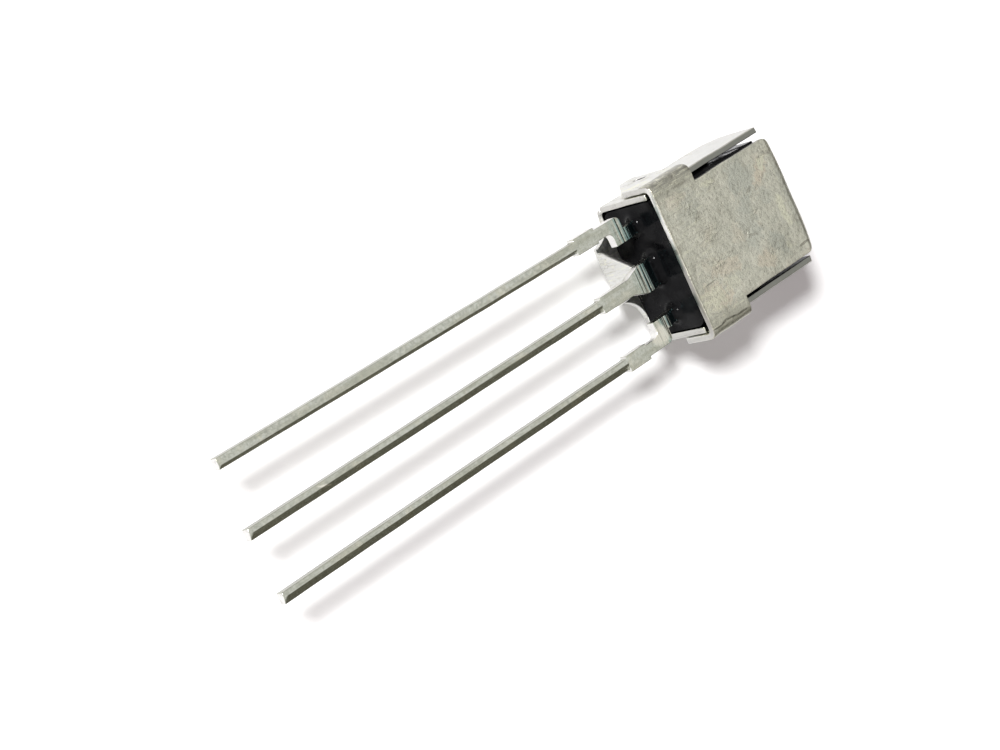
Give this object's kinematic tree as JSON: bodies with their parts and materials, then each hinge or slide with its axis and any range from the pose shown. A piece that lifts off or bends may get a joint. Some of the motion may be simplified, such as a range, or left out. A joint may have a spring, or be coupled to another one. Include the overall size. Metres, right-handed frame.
{
  "type": "infrared receiver",
  "caption": "Small through-hole infrared receiver: a black cast body with a domed lens in a folded metal shield, on straight flat leads.",
  "frame": {"origin": "on the middle lead's centre line, level with the shield's lower edge", "axes": "+X across the leads towards the supply lead, +Y from the leads towards the head, +Z out of the back plate; the part lies on its lens"},
  "size_m": [0.0068, 0.0298, 0.0046],
  "materials": {
    "tinplate": "dull tinned steel sheet with light tarnish and scratches",
    "black_resin": "glossy black infrared-pass epoxy",
    "tinned_lead": "satin tin plating",
    "photodiode_silicon": "polished dark silicon",
    "receiver_silicon": "polished grey silicon",
    "silver_adhesive": "cured silver-filled adhesive",
    "gold_wire": "drawn gold wire"
  },
  "bodies": {
    "root": {"shield": "tinplate", "resin_body": "black_resin", "lead_output": "tinned_lead", "lead_ground": "tinned_lead", "lead_supply": "tinned_lead", "photodiode_chip": "photodiode_silicon", "receiver_chip": "receiver_silicon", "chip_adhesive": "silver_adhesive", "bond_wires": "gold_wire"}
  },
  "joints": []
}
